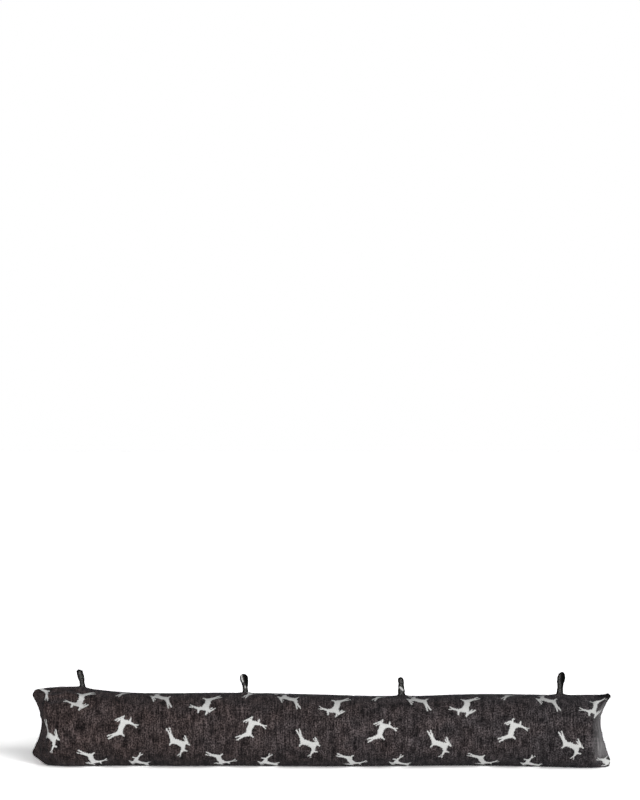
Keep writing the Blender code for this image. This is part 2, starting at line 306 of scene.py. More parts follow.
def lower_line(end, from_end):
    """The height of the free underside, which rises to the lower ear near the end."""
    return -SUNK + (end.lower_ear + SUNK) * (1.0 - ramp(from_end, 0.0, end.lift_reach))


def end_seam_inset(end, share):
    """How far an end seam is drawn in, at a height share from -1, lower ear, to 1, upper ear: a
    power curve, deepest at the waist, and rounded off again at the tips of the ears."""
    side = np.where(share > end.waist, 1.0 - end.waist, 1.0 + end.waist)
    ear = np.where(share > end.waist, end.upper_ear, EAR_PLACE)
    away = np.abs(share - end.waist) / side / ear
    tips = np.clip((away - 1.0) / (1.0 / ear - 1.0), 0.0, 1.0) ** 2
    drawn = end.drawn_in * (1.0 - np.minimum(away, 1.0) ** DRAWN_POWER)
    return drawn + EAR_TIP * tips + end.shorter * (1.0 - share) / 2.0


def tube_grid(x, angle):
    """The tube's points, one row for each x and one column for each angle from the top seam. A section
    is a squared ellipse of the tube's height and depth there, flattened on the floor; near an end it
    narrows to a lens as thick as the end seam, and the seam is drawn in between its two ears."""
    x, angle = x[:, None], angle[None, :]
    from_end = LENGTH / 2.0 - np.abs(x)
    top = seam_height(x) - EAR_DROP * np.clip(1.0 - from_end / EAR_DROP_REACH, 0.0, 1.0) ** 2
    lower = np.where(x < 0.0, lower_line(LEFT_END, from_end), lower_line(RIGHT_END, from_end))
    half_height, middle = (top - lower) / 2.0, (top + lower) / 2.0
    full_depth = GIRTH / math.pi - (top + SUNK) / 2.0 + lumps_at(x)
    half_depth = SEAM_EDGE / 2.0 + (full_depth - SEAM_EDGE / 2.0) * swelling(from_end)
    forward = through(SECTION_X, SECTION_FORWARD, x)

    power = 2.0 / SQUARENESS + END_SHARPNESS * (1.0 - ramp(from_end, 0.0, END_REACH))
    sine, cosine = np.sin(angle), np.cos(angle)
    share = np.sign(cosine) * np.abs(cosine) ** (2.0 / SQUARENESS)
    thinnest = SEAM_EDGE / 2.0 / half_depth * np.abs(sine)
    across = np.sign(sine) * np.maximum(np.abs(sine) ** power, thinnest)
    y = SEAM_BACK - half_depth * across - forward * (1.0 - share) / 2.0

    from_seam = full_depth * across
    groove = SEAM_GROOVE * np.exp(-((from_seam / SEAM_GROOVE_HALF) ** 2)) * ramp(from_end, 0.001, 0.012)
    free = middle + half_height * share + (pulled_up(x, from_seam) - groove) * (share > 0.0)
    inset = np.where(x < 0.0, end_seam_inset(LEFT_END, share), end_seam_inset(RIGHT_END, share))
    x = x - np.sign(x) * inset * np.exp(-from_end / DRAWN_REACH)
    return np.stack(np.broadcast_arrays(x, y, level_at_floor(free)), axis=-1)


def girth_places(angle):
    """The share of the girth at each angle: down the front positive, down the back negative."""
    turn = np.where(angle <= math.pi, angle, angle - 2.0 * math.pi)
    return turn / (2.0 * math.pi) * GIRTH


def crease_depths(x, girth):
    """The depth of all creases: each is exp(-(distance to its line / half width)^2), added up."""
    total = np.zeros(np.broadcast(x, girth).shape)
    for x0, girth0, x1, girth1, depth, half_width in CREASES:
        along, down = x1 - x0, girth1 - girth0
        run = ((x - x0) * along + (girth - girth0) * down) / (along**2 + down**2)
        run = np.clip(run, 0.0, 1.0)
        off = np.hypot(x - x0 - run * along, girth - girth0 - run * down)
        total = total + depth * np.exp(-((off / half_width) ** 2))
    return total


def pressed_in(points, depth):
    """Moves each point towards the middle of its section by the depth, never off the floor."""
    inwards = points.mean(axis=1, keepdims=True) - points
    inwards[..., 0] = 0.0
    reach = np.linalg.norm(inwards, axis=-1, keepdims=True)
    pressed = points + inwards / np.maximum(reach, 0.001) * np.minimum(depth[..., None], 0.3 * reach)
    pressed[..., 2] = np.where(points[..., 2] <= 0.0, 0.0, np.maximum(pressed[..., 2], 0.0))
    return pressed


def puckers(kind, place, drift, strength, away):
    """Cosine waves of the kind's spacing, which the drift makes uneven, fading as exp(-away / reach)."""
    beat = 2.0 * math.pi * place / kind.spacing + drift
    return kind.height * strength * np.cos(beat) * np.exp(-away / kind.reach)


def pucker_depths(x, girth):
    """Small puckers where cloth is drawn together. They run off at right angles from the end seams and
    from the top seam. Sines of other lengths make their spacing and their strength uneven."""
    from_end = LENGTH / 2.0 - np.abs(x)
    side = np.sign(x)
    drift = 1.7 * np.sin(girth * 87.0 + side) + 1.1 * np.sin(girth * 191.0)
    strength = 0.55 + 0.45 * np.sin(girth * 61.0 + 2.0 * side)
    at_ends = puckers(END_PUCKERS, girth, drift, strength, from_end)
    drift = 2.1 * np.sin(x * 73.0) + 1.3 * np.sin(x * 157.0 + 1.0)
    strength = 0.5 + 0.5 * np.sin(x * 43.0 + 0.6)
    at_top = puckers(TOP_PUCKERS, x, drift, strength, np.abs(girth))
    return at_ends * ramp(from_end, 0.0, 0.003) + at_top * ramp(from_end, 0.010, 0.030)


def tube_points():
    """The tube's grid with its creases and puckers, and its angles."""
    stations, angles = station_places(), ring_angles()
    points = tube_grid(stations, angles)
    girth = girth_places(angles)[None, :]
    depth = crease_depths(points[..., 0], girth) + pucker_depths(stations[:, None], girth)
    return pressed_in(points, depth), angles


# --- Meshes ---


def placed(name, data):
    """A new object of the data, at the origin of the scene."""
    made = bpy.data.objects.new(name, data)
    bpy.context.scene.collection.objects.link(made)
    return made


def cloth_object(name, points, faces, corner_places, material):
    """A mesh of the points and faces, with the cloth's own coordinates as its UV maps."""
    mesh = bpy.data.meshes.new(name)
    mesh.from_pydata(points.tolist(), [], faces)
    for kind, places in corner_places.items():
        uv = mesh.uv_layers.new(name=kind)
        uv.data.foreach_set("uv", np.ascontiguousarray(places, np.float32).ravel())
    mesh.shade_smooth()
    mesh.materials.append(material)
    return placed(name, mesh)


def make_finer(made, levels):
    finer = made.modifiers.new("finer", "SUBSURF")
    finer.levels = finer.render_levels = levels


def cloth_down(angles):
    """The way down the cloth to each column, measured on full sections."""
    ring = tube_grid(np.array(FULL_SECTIONS), np.append(angles, 2.0 * math.pi))
    steps = np.linalg.norm(np.diff(ring, axis=1), axis=-1).mean(axis=0)
    return np.concatenate([[0.0], np.cumsum(steps)])


def cloth_along(x, down):
    """The place on the flat cloth at x: a cubic of x, less x times a share of the way down."""
    even, square, cubic = STRETCH
    return even * x + square * x**2 + cubic * x**3 - FANNED * (down - FANNED_FROM) * x


def folded_ear(along, down):
    """The pattern's shift along and down the cloth in the left upper ear, where the cloth is folded: it
    is turned up over the top and moved away from the ear."""
    near_top = 1.0 - ramp(down, *FOLDED_ABOVE)
    near_ear = ramp(-along, *FOLDED_FROM)
    turned = np.maximum(0.0, TURNED_FROM - along) - FOLDED_DOWN * near_ear
    return -FOLDED_ALONG * near_top * near_ear, near_top * turned


def drawn_ear(along, down):
    """The pattern's shift along and down the cloth at the right lower ear, where it is drawn in."""
    share = ramp(along, *DRAWN_FROM) * ramp(down, *DRAWN_BELOW)
    return DRAWN_ALONG * share, -DRAWN_DOWN * share


def gathered_waist(along, down):
    """The pattern's shift along and down the cloth at the left waist, where it is gathered: pushed
    towards the seam in a bell curve, and towards the middle beyond it."""
    share = ramp(down, *WAIST_BELOW) * (1.0 - ramp(down, *WAIST_ABOVE))
    pushed = WAIST_PUSHED * np.exp(-(((along - WAIST_PUSHED_AT) / WAIST_PUSHED_REACH) ** 2))
    gathered = WAIST_GATHERED * ramp(-along, *WAIST_GATHERED_FROM)
    return share * (pushed - gathered), WAIST_LIFTED * share * ramp(-along, *WAIST_LIFTED_FROM)


def pattern_places(x, down):
    """The place in the flat pattern at x, so far down the tube. What is seen moves against the shifts."""
    along = cloth_along(x, down)
    shifts = [shift(along, down) for shift in (folded_ear, drawn_ear, gathered_waist)]
    shifted = along + sum(shift[0] for shift in shifts)
    lowered = down + sum(shift[1] for shift in shifts) - SLANT * shifted
    return np.stack([shifted, lowered], axis=-1)


def run_along(points):
    """How far each point lies from the middle of the tube, along the cloth's surface."""
    steps = np.linalg.norm(np.diff(points, axis=0), axis=-1)
    run = np.concatenate([np.zeros((1, points.shape[1])), np.cumsum(steps, axis=0)])
    return run - run[len(run) // 2]


ROUND_FIRST = ((0, 0), (0, 1), (1, 1), (1, 0))  # a quad's corners as (row, column) steps
ALONG_FIRST = ((0, 0), (1, 0), (1, 1), (0, 1))


def ring_faces(rows, columns, order):
    """Quads from ring to ring, and each corner's place as its row and column. The corners that close a
    ring have a column of their own, one past the last."""
    index = np.arange(rows * columns).reshape(rows, columns)
    wrap = np.concatenate([index, index[:, :1]], axis=1)
    row, column = np.meshgrid(np.arange(rows - 1), np.arange(columns), indexing="ij")
    corners = [(row + down, column + across) for down, across in order]
    quads = np.stack([wrap[corner] for corner in corners], axis=-1).reshape(-1, 4)
    places = np.stack([np.stack(corner, axis=-1) for corner in corners], axis=-2).reshape(-1, 2)
    return quads, places


def seam_edge(ring, row, base, first, groove):
    """One end seam's edge: two strips of quads, from the front cloth to a middle line that lies groove
    deep, and on to the back cloth, with triangles at the tips. Returns the line, faces and places."""
    columns = len(ring)
    half = columns // 2
    step = np.arange(half)
    line = (ring[1:half] + ring[:half:-1]) / 2.0
    line[:, 0] += groove
    middle = np.concatenate([[base], first + step[:-1], [base + half]])
    front = base + np.arange(half + 1)
    back = np.concatenate([[base], base + columns - step[1:], [base + half]])
    strips = [[a[:-1], b[:-1], b[1:], a[1:]] for a, b in ((front, middle), (middle, back))]
    quads = np.array(strips).transpose(2, 0, 1)
    column = np.stack([step, step, step + 1, step + 1], axis=-1)
    column = np.stack([column, columns - column], axis=1)
    used = np.ones(quads.shape, bool)  # a tip's corner that is there twice is left out
    used[0, :, 1] = used[-1, :, 3] = False
    if groove < 0.0:
        quads, column, used = quads[..., ::-1], column[..., ::-1], used[..., ::-1]
    faces = [quad[kept].tolist() for quad, kept in zip(quads.reshape(-1, 4), used.reshape(-1, 4))]
    places = np.stack([np.full(used.sum(), row), column[used]], axis=-1)
    return line, faces, places


def end_caps(points):
    """The edges of both end seams: their middle lines, their faces and the corners' places."""
    rows, columns = points.shape[:2]
    lines, faces, places = [], [], []
    for number, (row, groove) in enumerate(((0, EDGE_GROOVE), (rows - 1, -EDGE_GROOVE))):
        first = rows * columns + number * (columns // 2 - 1)
        line, edge, at = seam_edge(points[row], row, row * columns, first, groove)
        lines.append(line)
        faces += edge
        places.append(at)
    return np.concatenate(lines), faces, np.concatenate(places)


def cloth_as_cut(points):
    """The cloth before it was gathered: each ring grown about its middle by a share of what it lacks to
    the tube's full girth, so that it is too long for the end seams, and falls into folds there."""
    ring = np.linalg.norm(np.roll(points, -1, axis=1) - points, axis=-1).sum(axis=1)
    grown = 1.0 + GATHERED * (ring.max() / ring - 1.0)
    middle = points.mean(axis=1, keepdims=True)
    scale = np.stack([np.ones_like(grown), grown, grown], axis=-1)[:, None, :]
    return middle + (points - middle) * scale


def sew_up(tube, cut, final):
    """Lays the mesh out as cut, and keys a shape that carries it to its final form."""
    tube.data.vertices.foreach_set("co", cut)
    tube.shape_key_add(name="as_cut")
    sewn_up = tube.shape_key_add(name="sewn_up")
    sewn_up.data.foreach_set("co", final)
    for frame, value in ((1, 0.0), (SEWING_FRAMES, 1.0)):
        sewn_up.value = value
        sewn_up.keyframe_insert("value", frame=frame)


def stuff(tube):
    """Runs the cloth simulation and returns the vertices as it leaves them."""
    cloth = tube.modifiers.new("stuffing", "CLOTH")
    for name, value in CLOTH.items():
        setattr(cloth.settings, name, value)
    cloth.settings.vertex_group_mass = "sewn"
    cloth.settings.effector_weights.gravity = 0.0
    for frame in range(1, SETTLE_FRAMES + 1):
        bpy.context.scene.frame_set(frame)
    settled = tube.evaluated_get(bpy.context.evaluated_depsgraph_get()).data
    moved = np.zeros(len(settled.vertices) * 3, np.float32)
    settled.vertices.foreach_get("co", moved)
    tube.modifiers.remove(cloth)
    tube.data.shape_keys.animation_data_clear()
    tube.shape_key_clear()
    bpy.context.scene.frame_set(1)
    return moved


def blurred(grid, reach):
    """The grid averaged over a window of reach cells each way, wrapped round the girth."""
    wide = np.concatenate([grid[:, -reach:], grid, grid[:, :reach]], axis=1)
    wide = np.pad(wide, ((reach, reach), (0, 0), (0, 0)), mode="edge")
    total = sum(wide[k : k + grid.shape[0]] for k in range(2 * reach + 1)) / (2 * reach + 1)
    return sum(total[:, k : k + grid.shape[1]] for k in range(2 * reach + 1)) / (2 * reach + 1)


def settle_cloth(tube, points, girth):
    """Settles the cloth by simulation: pressure from within, its seams and underside held. Only the
    fine part of the movement is kept, and it is capped, so the outline stays."""
    rows, columns = points.shape[:2]
    count, walls = len(tube.data.vertices), rows * columns
    held = (points[..., 2] <= 0.0002) | (np.abs(girth) < 1e-6)
    held[0], held[-1] = True, True
    pinned = np.append(held.ravel(), np.ones(count - walls, bool))
    sewn = tube.vertex_groups.new(name="sewn")
    sewn.add(np.flatnonzero(pinned).tolist(), 1.0, "REPLACE")

    final = np.zeros(count * 3, np.float32)
    tube.data.vertices.foreach_get("co", final)
    cut = final.copy()
    cut[: walls * 3] = cloth_as_cut(points).ravel()
    sew_up(tube, cut, final)
    moved = stuff(tube)

    shift = moved.reshape(-1, 3)[:walls].reshape(rows, columns, 3) - points
    fine = shift - blurred(shift, SMOOTH_REACH)
    size = np.linalg.norm(fine, axis=-1, keepdims=True)
    fine = fine * np.tanh(size / MOST_MOVED) * MOST_MOVED / np.maximum(size, 1e-9)
    fine[held] = 0.0
    kept = points + fine
    kept[..., 2] = np.maximum(kept[..., 2], 0.0)
    final[: walls * 3] = kept.ravel()
    tube.data.vertices.foreach_set("co", final)
    tube.data.update()


def make_tube(material):
    """The stuffed tube: its wall from ring to ring and the edges of its end seams, with its cloth laid
    out twice, as the pattern lies and as the yarns run."""
    points, angles = tube_points()
    rows, columns = points.shape[:2]
    walls, wall_places = ring_faces(rows, columns, ROUND_FIRST)
    lines, caps, cap_places = end_caps(points)
    places = np.concatenate([wall_places, cap_places])
    down = cloth_down(angles)[places[:, 1]]
    corner = places[:, 0], places[:, 1] % columns
    laid_out = {
        "cloth": pattern_places(points[corner][:, 0], down),
        "grain": np.stack([run_along(points)[corner], down], axis=-1),
    }
    vertices = np.concatenate([points.reshape(-1, 3), lines])
    tube = cloth_object("stuffed_tube", vertices, walls.tolist() + caps, laid_out, material)
    settle_cloth(tube, points, girth_places(angles)[None, :])
    make_finer(tube, 1)
    return tube


def loop_path(loop):
    """The middle of a loop's strap as (off, up) points, from one foot round to the other: a teardrop,
    off = sin(t) sin(t/2)^LOOP_POINT and up = (1 - cos t) / 2, whose feet run on down into the seam."""
    t = 2.0 * math.pi * np.linspace(0.035, 0.965, LOOP_POINTS)
    rise = loop.height - LOOP_FOOT - STRAP_THICKNESS / 2.0
    off = (LOOP_HALF_GAP + STRAP_THICKNESS / 2.0) * np.sin(t) * np.sin(t / 2.0) ** LOOP_POINT / WIDEST
    off = np.sign(off) * np.maximum(np.abs(off), STRAP_THICKNESS * LAYER_GAP)
    up = LOOP_FOOT * 0.6 + (rise + LOOP_FOOT * 0.4) * (1.0 - np.cos(t)) / 2.0
    foot = np.linspace(-FOOT_DEPTH, up[0], 5)[:-1]
    off = np.concatenate([np.full(4, off[0]), off, np.full(4, off[-1])])
    return off, np.concatenate([foot, up, foot[::-1]])


def strap_section():
    """The strap's section, a flat band with rounded, slightly fuller edges, as shares: across is
    cos(a)^0.62 and thick is sin(a)^0.55 (0.84 + 0.22 across^4)."""
    a = 2.0 * math.pi * (np.arange(STRAP_POINTS) + 0.5) / STRAP_POINTS
    across = np.sign(np.cos(a)) * np.abs(np.cos(a)) ** 0.62
    thick = np.sign(np.sin(a)) * np.abs(np.sin(a)) ** 0.55 * (0.84 + 0.22 * across**4)
    return across, thick


def strap_half_width(loop, up, way, fold, number):
    """Half the strap's width along its path: from the foot's width to the top's, rounded off at the fold
    as sqrt(1 - 0.9 fold^2.2), spread at the very foot, and a little uneven."""
    width = loop.foot_width + (loop.top_width - loop.foot_width) * ramp(up, 0.003, 0.7 * loop.height)
    flare = 1.0 + 0.30 * np.exp(-np.maximum(up, 0.0) / 0.0016)
    wobble = 0.00025 * np.sin(way * 420.0 + number) + 0.0002 * np.sin(way * 910.0 + 2.0 * number)
    return width / 2.0 * np.sqrt(1.0 - 0.90 * fold**2.2) * flare + wobble


def loop_points(loop, way, number):
    """The strap's points, one row for each place on its path: its section is carried along the path,
    crowned at the fold, and the loop is turned, leans and stands in the seam."""
    off, up = loop_path(loop)
    across, thick = strap_section()
    along = np.stack([np.gradient(off), np.gradient(up)], axis=-1)
    along /= np.linalg.norm(along, axis=-1, keepdims=True)
    normal = np.stack([along[:, 1], -along[:, 0]], axis=-1)
    fold = np.clip(1.0 - (loop.height - up) / loop.rounding, 0.0, 1.0)
    side = across[None, :] * strap_half_width(loop, up, way, fold, number)[:, None]
    lift = thick[None, :] * STRAP_THICKNESS / 2.0
    point_off = off[:, None] + normal[:, :1] * lift
    point_up = up[:, None] + normal[:, 1:] * lift - LOOP_CROWN * fold[:, None] * across[None, :] ** 2

    turn = np.radians(loop.turn) * ramp(point_up, 0.0, loop.height * 0.75)
    lean = loop.lean * (np.maximum(point_up, 0.0) / loop.height) ** 1.3
    x = loop.x + side * np.cos(turn) - point_off * np.sin(turn) + lean
    y = SEAM_BACK + side * np.sin(turn) + point_off * np.cos(turn)
    foot = seam_height(x) + pulled_up(x, 0.0)
    level = seam_height(loop.x) + pulled_up(loop.x, 0.0)
    z = foot + (level - foot) * ramp(point_up, 0.0, 0.008) + point_up
    return np.stack([x, y, z], axis=-1)


def make_loop(loop, material, number):
    """A hanging loop: one strap, closed at both feet, with its cloth laid out flat: across and round it,
    and the way from the fold."""
    way = np.concatenate([[0.0], np.cumsum(np.hypot(*np.diff(loop_path(loop), axis=1)))])
    points = loop_points(loop, way, number)
    rows, columns = points.shape[:2]
    index = np.arange(rows * columns).reshape(rows, columns)
    walls, at = ring_faces(rows, columns, ALONG_FIRST)
    faces = walls.tolist() + [index[0].tolist(), index[-1][::-1].tolist()]

    across, thick = strap_section()
    round_it = np.where(thick > 0.0, (1.0 - across) / 2.0, (3.0 + across) / 2.0)
    round_it = np.append(round_it, round_it[0] + 2.0) * STRAP_WIDTH
    way = way - way[len(way) // 2]
    places = np.stack([round_it[at[:, 1]], way[at[:, 0]]], axis=-1)
    ends = np.stack([round_it[:-1], np.zeros(columns)], axis=-1)
    places = np.concatenate([places, ends + (0.0, way[0]), ends[::-1] + (0.0, way[-1])])
    places = {"cloth": places + (STRAP_PLACES * number, 0.0)}
    made = cloth_object(loop.name + "_strap", points.reshape(-1, 3), faces, places, material)
    make_finer(made, 2)
    return made


# --- Materials ---

# The mix node's inputs for what is mixed, and its output.
MIX_SOCKETS = {"RGBA": (6, 7, 2), "VECTOR": (4, 5, 1)}


class Nodes:
    """The node tree of a material or of the surroundings. Each method but feed returns an output."""

    def __init__(self, owner):
        owner.use_nodes = True
        self.tree = owner.node_tree

    def feed(self, node, values):
        """Feeds a node's inputs, each with another node's output or with a plain value."""
        for place, value in values.items():
            if isinstance(value, bpy.types.NodeSocket):
                self.tree.links.new(value, node.inputs[place])
            else:
                node.inputs[place].default_value = value

    def node(self, kind, values, **settings):
        made = self.tree.nodes.new(kind)
        for name, setting in settings.items():
            setattr(made, name, setting)
        self.feed(made, values)
        return made.outputs[0]

    def math(self, operation, *values, clamp=False):
        return self.node("ShaderNodeMath", dict(enumerate(values)), operation=operation, use_clamp=clamp)

    def times(self, value, factor, *plus, clamp=False):
        """The value times the factor, plus what else is given."""
        return self.math("MULTIPLY_ADD" if plus else "MULTIPLY", value, factor, *plus, clamp=clamp)

    def vector(self, operation, *values):
        made = self.node("ShaderNodeVectorMath", dict(enumerate(values)), operation=operation)
        return made.node.outputs["Value"] if operation in ("LENGTH", "DOT_PRODUCT") else made

    def towards(self, place, along, down):
        """How far a place on the cloth lies in the direction (along, down)."""
        return self.vector("DOT_PRODUCT", place, (along, down, 0.0))

    def share(self, value, start, end, low=0.0, high=1.0):
        """low at start, high at end, and an even run between them."""
        values = {"Value": value, "From Min": start, "From Max": end, "To Min": low, "To Max": high}
        return self.node("ShaderNodeMapRange", values)

    def noise(self, place, along, down, detail, rough):
        scaled = self.vector("MULTIPLY", place, (along, down, 1.0))
        values = {"Vector": scaled, "Scale": 1.0, "Detail": detail, "Roughness": rough}
        return self.node("ShaderNodeTexNoise", values)

    def mix(self, factor, first, second, kind="RGBA", way="MIX"):
        """The first at factor 0 and the second, or with MULTIPLY their product, at factor 1."""
        a, b, result = MIX_SOCKETS[kind]
        values = {0: factor, a: first, b: second}
        made = self.node("ShaderNodeMix", values, data_type=kind, blend_type=way)
        return made.node.outputs[result]

    def shades(self, value, stops):
        """The colour at the value's place between the stops, each a place and a colour."""
        made = self.node("ShaderNodeValToRGB", {0: value})
        elements = made.node.color_ramp.elements
        while len(elements) < len(stops):
            elements.new(0.5)
        for element, (place, colour) in zip(elements, stops):
            element.position = place
            element.color = (*colour, 1.0)
        return made


# The hare, in millimetres, leaping to the right: limbs as (x0, y0, r0, x1, y1, r1). The first group is
# its body, which runs together softly; the second its thin parts.
HARE_BODY = (
    (-8.4, 1.4, 4.1, -1.0, 0.4, 3.8),
    (-1.0, 0.4, 3.8, 7.4, -3.4, 4.7),
    (8.8, -1.4, 3.5, 14.0, 0.0, 2.2),
    (14.2, 0.0, 2.2, 18.4, -3.0, 1.0),
    (8.6, -5.0, 3.7, 8.2, -13.0, 2.3),
    (-9.2, 2.6, 3.5, -12.6, 9.8, 2.4),
)
HARE_LIMBS = (
    (14.9, 1.4, 1.3, 10.4, 10.4, 0.8),
    (12.8, 1.6, 1.1, 8.8, 6.8, 0.7),
    (9.0, -12.8, 1.8, 14.8, -14.0, 1.0),
    (8.0, -13.4, 2.0, 5.2, -19.4, 1.2),
    (5.2, -19.4, 1.1, 0.4, -24.6, 0.6),
    (5.2, -19.6, 1.0, 4.8, -26.0, 0.6),
    (-9.8, -0.8, 1.9, -13.8, -5.6, 0.9),
    (-13.0, 9.6, 1.7, -20.0, 18.6, 0.9),
    (-11.8, 10.0, 1.5, -15.2, 20.6, 0.8),
)
HARE_EYE = (15.8, -0.4, 0.5)
HARE_SOFTNESS = 1.6  # how softly the body's limbs run together

# Where the hares lie in one repeat: millimetres along and down the front, turn, how much wider and
# taller than drawn the cloth's pull makes them there, and if mirrored.
HARES = (
    (-21.4, 111.2, -3, 0.98, 1.03, False),
    (91.6, 89.4, 88, 1.02, 0.96, False),
    (23.4, 47.0, -86, 1.10, 1.10, False),
    (-52.0, 30.0, 174, 1.00, 1.16, False),
    (44.5, 147.5, -85, 1.00, 1.00, True),
    (-81.8, 158.0, 170, 1.00, 1.00, False),
    (88.0, 4.0, 124, 1.00, 1.00, False),
)

# Scraps of the hare pattern on the loops' outer faces, in millimetres as the hare's limbs: across from
# the right edge and down from the top, each loop STRAP_PLACES further along.
SCRAPS = (
    (86.0, 3.0, 1.1, 84.9, 13.0, 1.3),
    (83.6, 21.2, 1.1, 83.7, 23.2, 1.1),
    (126.2, 17.2, 1.4, 124.4, 19.2, 1.6),
    (124.4, 19.2, 1.6, 122.8, 22.2, 1.2),
)


def limb_distance(nodes, point, limb):
    """Distance from a limb, a line whose radius changes evenly from one end to the other."""
    x0, y0, r0, x1, y1, r1 = limb
    along = (x1 - x0, y1 - y0)
    square = along[0] ** 2 + along[1] ** 2
    off = nodes.vector("SUBTRACT", point, (x0, y0, 0.0))
    run = nodes.towards(off, along[0] / square, along[1] / square)
    run = nodes.times(run, 1.0, clamp=True)
    back = nodes.vector("MULTIPLY_ADD", run, (-along[0], -along[1], 0.0), off)
    grown = nodes.times(run, r0 - r1, nodes.vector("LENGTH", back))
    return nodes.math("SUBTRACT", grown, r0)


def nearest_limb(nodes, place, limbs, way="MINIMUM", *softness):
    """Distance from the nearest limb. SMOOTH_MIN lets limbs run together softly."""
    distance = limb_distance(nodes, place, limbs[0])
    for limb in limbs[1:]:
        distance = nodes.math(way, distance, limb_distance(nodes, place, limb), *softness)
    return distance


def hare_frame(nodes, place):
    """The place in the nearest hare's own frame: it is wrapped into one repeat round each hare, and
    turned, and the nearest hare's frame is kept."""
    half = (HARE_LENGTH_STEP * 500.0, HARE_GIRTH_STEP * 500.0, 10.0)
    best, nearest = None, None
    for along, down, turn, wide, tall, mirrored in HARES:
        off = nodes.vector("SUBTRACT", place, (along, down, 0.0))
        off = nodes.vector("WRAP", off, half, tuple(-h for h in half))
        drawn = nodes.vector("MULTIPLY", off, (1.0 / wide, 1.0 / tall, 1.0))
        values = {"Vector": drawn, "Angle": math.radians(turn)}
        turned = nodes.node("ShaderNodeVectorRotate", values, rotation_type="Z_AXIS")
        own = nodes.vector("MULTIPLY", turned, (1.0, 1.0 if mirrored else -1.0, 1.0))
        away = nodes.vector("LENGTH", off)
        if best is None:
            best, nearest = own, away
        else:
            closer = nodes.math("LESS_THAN", away, nearest)
            best = nodes.mix(closer, best, own, kind="VECTOR")
            nearest = nodes.math("MINIMUM", away, nearest)
    return best


def hare_distance(nodes, place):
    """Signed distance in millimetres from the nearest hare's outline."""
    own = hare_frame(nodes, place)
    body = nearest_limb(nodes, own, HARE_BODY, "SMOOTH_MIN", HARE_SOFTNESS)
    body = nodes.math("MINIMUM", body, nearest_limb(nodes, own, HARE_LIMBS))
    x, y, radius = HARE_EYE
    from_eye = nodes.vector("LENGTH", nodes.vector("SUBTRACT", own, (x, y, 0.0)))
    return nodes.math("MAXIMUM", body, nodes.math("SUBTRACT", radius, from_eye))


def cloth_place(nodes, kind):
    """The place on the cloth in millimetres, from the piece's own UV map: "cloth" as the pattern lies,
    "grain" as the yarns run over the filled shape."""
    values = {0: nodes.node("ShaderNodeUVMap", {}, uv_map=kind), "Scale": 1000.0}
    return nodes.node("ShaderNodeVectorMath", values, operation="SCALE")


def weave(nodes, place, pitch):
    """The relief of a plain weave: a sine wave along the cloth times one down it."""
    turns = 2.0 * math.pi / pitch
    warp = nodes.math("SINE", nodes.towards(place, turns, 0.0))
    weft = nodes.math("SINE", nodes.towards(place, 0.0, turns))
    return nodes.times(warp, weft)


def dress(nodes, colour, relief, depth, values):
    """Gives the cloth its colour, its relief of a depth in metres, and its other values."""
    bump = nodes.node("ShaderNodeBump", {"Strength": 0.5, "Distance": depth, "Height": relief})
    shader = nodes.tree.nodes["Principled BSDF"]
    nodes.feed(shader, {"Base Color": colour, "Normal": bump, "Specular IOR Level": 0.05} | values)


# Noises over the cloth: lumps a millimetre along and down it, detail and roughness.
SPECKS, STREAKS, MOTTLES = (0.48, 0.34, 3.0, 0.62), (0.42, 0.040, 2.0, 0.6), (0.55, 0.42, 2.0, 0.6)
TINT_NOISE, PATCH_NOISE = (0.024, 0.030, 1.0, 0.5), (0.085, 0.060, 3.0, 0.65)
STRAP_NOISE = (0.8, 0.5, 3.0, 0.65)

# The tweed: how much each noise adds to the yarns' shade, what is taken off the sum, and the shades
# from the darkest to the lightest. Tints and patches multiply them.
STREAK_SHARE, MOTTLE_SHARE, SPECK_SHARE, SHADE_BASE = 1.4, 0.7, 2.5, 1.83
YARN_SHADES = (
    (0.00, (0.0040, 0.0032, 0.0033)),
    (0.35, (0.0218, 0.0178, 0.0182)),
    (0.62, (0.0545, 0.0448, 0.0457)),
    (1.00, (0.0940, 0.0790, 0.0800)),
)
TINT_DRIFT = 0.0009  # how fast the tint changes from left to right, a millimetre
TINTS = ((0.10, (0.97, 0.88, 0.84)), (0.50, (1.01, 0.995, 1.0)), (0.90, (0.96, 1.02, 1.06)))
PATCHES = ((0.30, (0.26, 0.27, 0.28)), (0.70, (1.78, 1.77, 1.74)))

# The hares' yarns: their shades, the step of the weave, how many millimetres a unit of noise off its
# mean frays their outline, and how sharp the outline is.
HARE_SHADES = ((0.30, (0.50, 0.502, 0.495)), (0.60, (0.61, 0.612, 0.60)))
YARN_STEP = 0.75
FRAYING, NOISE_MEAN = 5.5, 0.51
OUTLINE_SHARPNESS = 2.2

# Places where painted light and shade change on the cloth, each from 0 to 1 in millimetres along or
# down it. At the right end a painted sheen, a highlight, lies in a wedge, and a painted shadow in the
# upper ear. Low on the front the dark yarns are painted darker as shade, and the hares paler as painted
# light, up to the right end.
PAINTED_SHEEN_EDGE, PAINTED_SHEEN_SLANT = (437.0, 461.0), 0.17
PAINTED_SHEEN_TOP, PAINTED_SHEEN_FOOT = (42.0, 62.0), (150.0, 112.0)
PAINTED_SHEEN_POWER, PAINTED_SHEEN_SHARE = 1.5, 0.76
PAINTED_SHEEN_SHADES = ((0.36, (0.150, 0.146, 0.147)), (0.64, (0.310, 0.301, 0.303)))
EAR_EDGE, EAR_SLANT = (426.0, 440.0), -0.45
EAR_FOOT = (44.0, 30.0)
EAR_SHADOW_SHARE, EAR_PAINTED_SHADOW = 0.86, (0.004, 0.0035, 0.0035, 1.0)
LOW_CLOTH = (122.0, 158.0)
LOW_PAINTED_SHADE_SHARE, LOW_PAINTED_SHADE = 0.22, (0.006, 0.005, 0.005, 1.0)
LOW_PAINTED_LIGHT_END, LOW_PAINTED_LIGHT = (436.0, 418.0), (0.80, 0.80, 0.79, 1.0)

